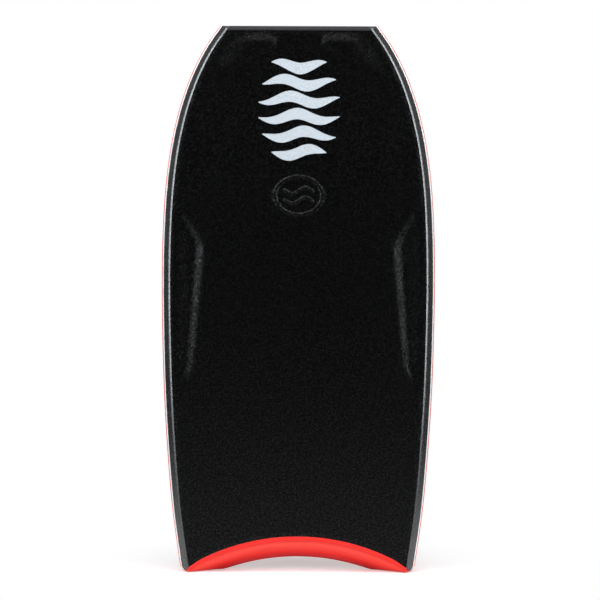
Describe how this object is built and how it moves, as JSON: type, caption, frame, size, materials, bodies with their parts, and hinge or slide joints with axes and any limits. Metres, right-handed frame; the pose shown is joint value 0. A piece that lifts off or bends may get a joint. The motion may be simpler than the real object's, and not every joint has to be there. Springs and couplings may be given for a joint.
{
  "type": "bodyboard",
  "caption": "Prone bodyboard with a square nose, crescent tail, bevelled foam rails, contoured deck and a slick bottom sheet over a foam core.",
  "frame": {"origin": "on the floor under the middle of the board, which stands upright on its tail tips", "axes": "+Z from the tail to the nose, +Y out of the slick, so the deck faces -Y, and +X to the right as seen from the deck side"},
  "size_m": [0.5364, 0.065, 1.067],
  "materials": {
    "deck_skin": "matte pebbled foam skin",
    "black_rail": "smooth satin foam",
    "white_pinline": "smooth satin foam",
    "red_rail": "smooth satin foam",
    "red_backing": "matte foam",
    "red_slick": "smooth slick film",
    "core_foam": "bead foam",
    "pad_foam": "soft foam",
    "mesh_sheet": "woven mesh in film",
    "stringer_carbon": "satin composite tube",
    "plug_plastic": "moulded plastic"
  },
  "bodies": {
    "root": {"core": "core_foam", "stringer_tube": "stringer_carbon", "stringer_plug_nose": "plug_plastic", "stringer_plug_tail": "plug_plastic", "deck_mesh": "mesh_sheet", "slick_mesh": "mesh_sheet", "deck_skin": "deck_skin", "nose_bulb_left": "pad_foam", "nose_bulb_right": "pad_foam", "upper_rail_left": "black_rail", "upper_rail_right": "black_rail", "nose_strip": "black_rail", "pinline_left": "white_pinline", "pinline_right": "white_pinline", "lower_rail_left": "red_rail", "lower_rail_right": "red_rail", "tail_strip": "red_rail", "slick_backing": "red_backing", "slick_sheet": "red_slick"}
  },
  "joints": []
}
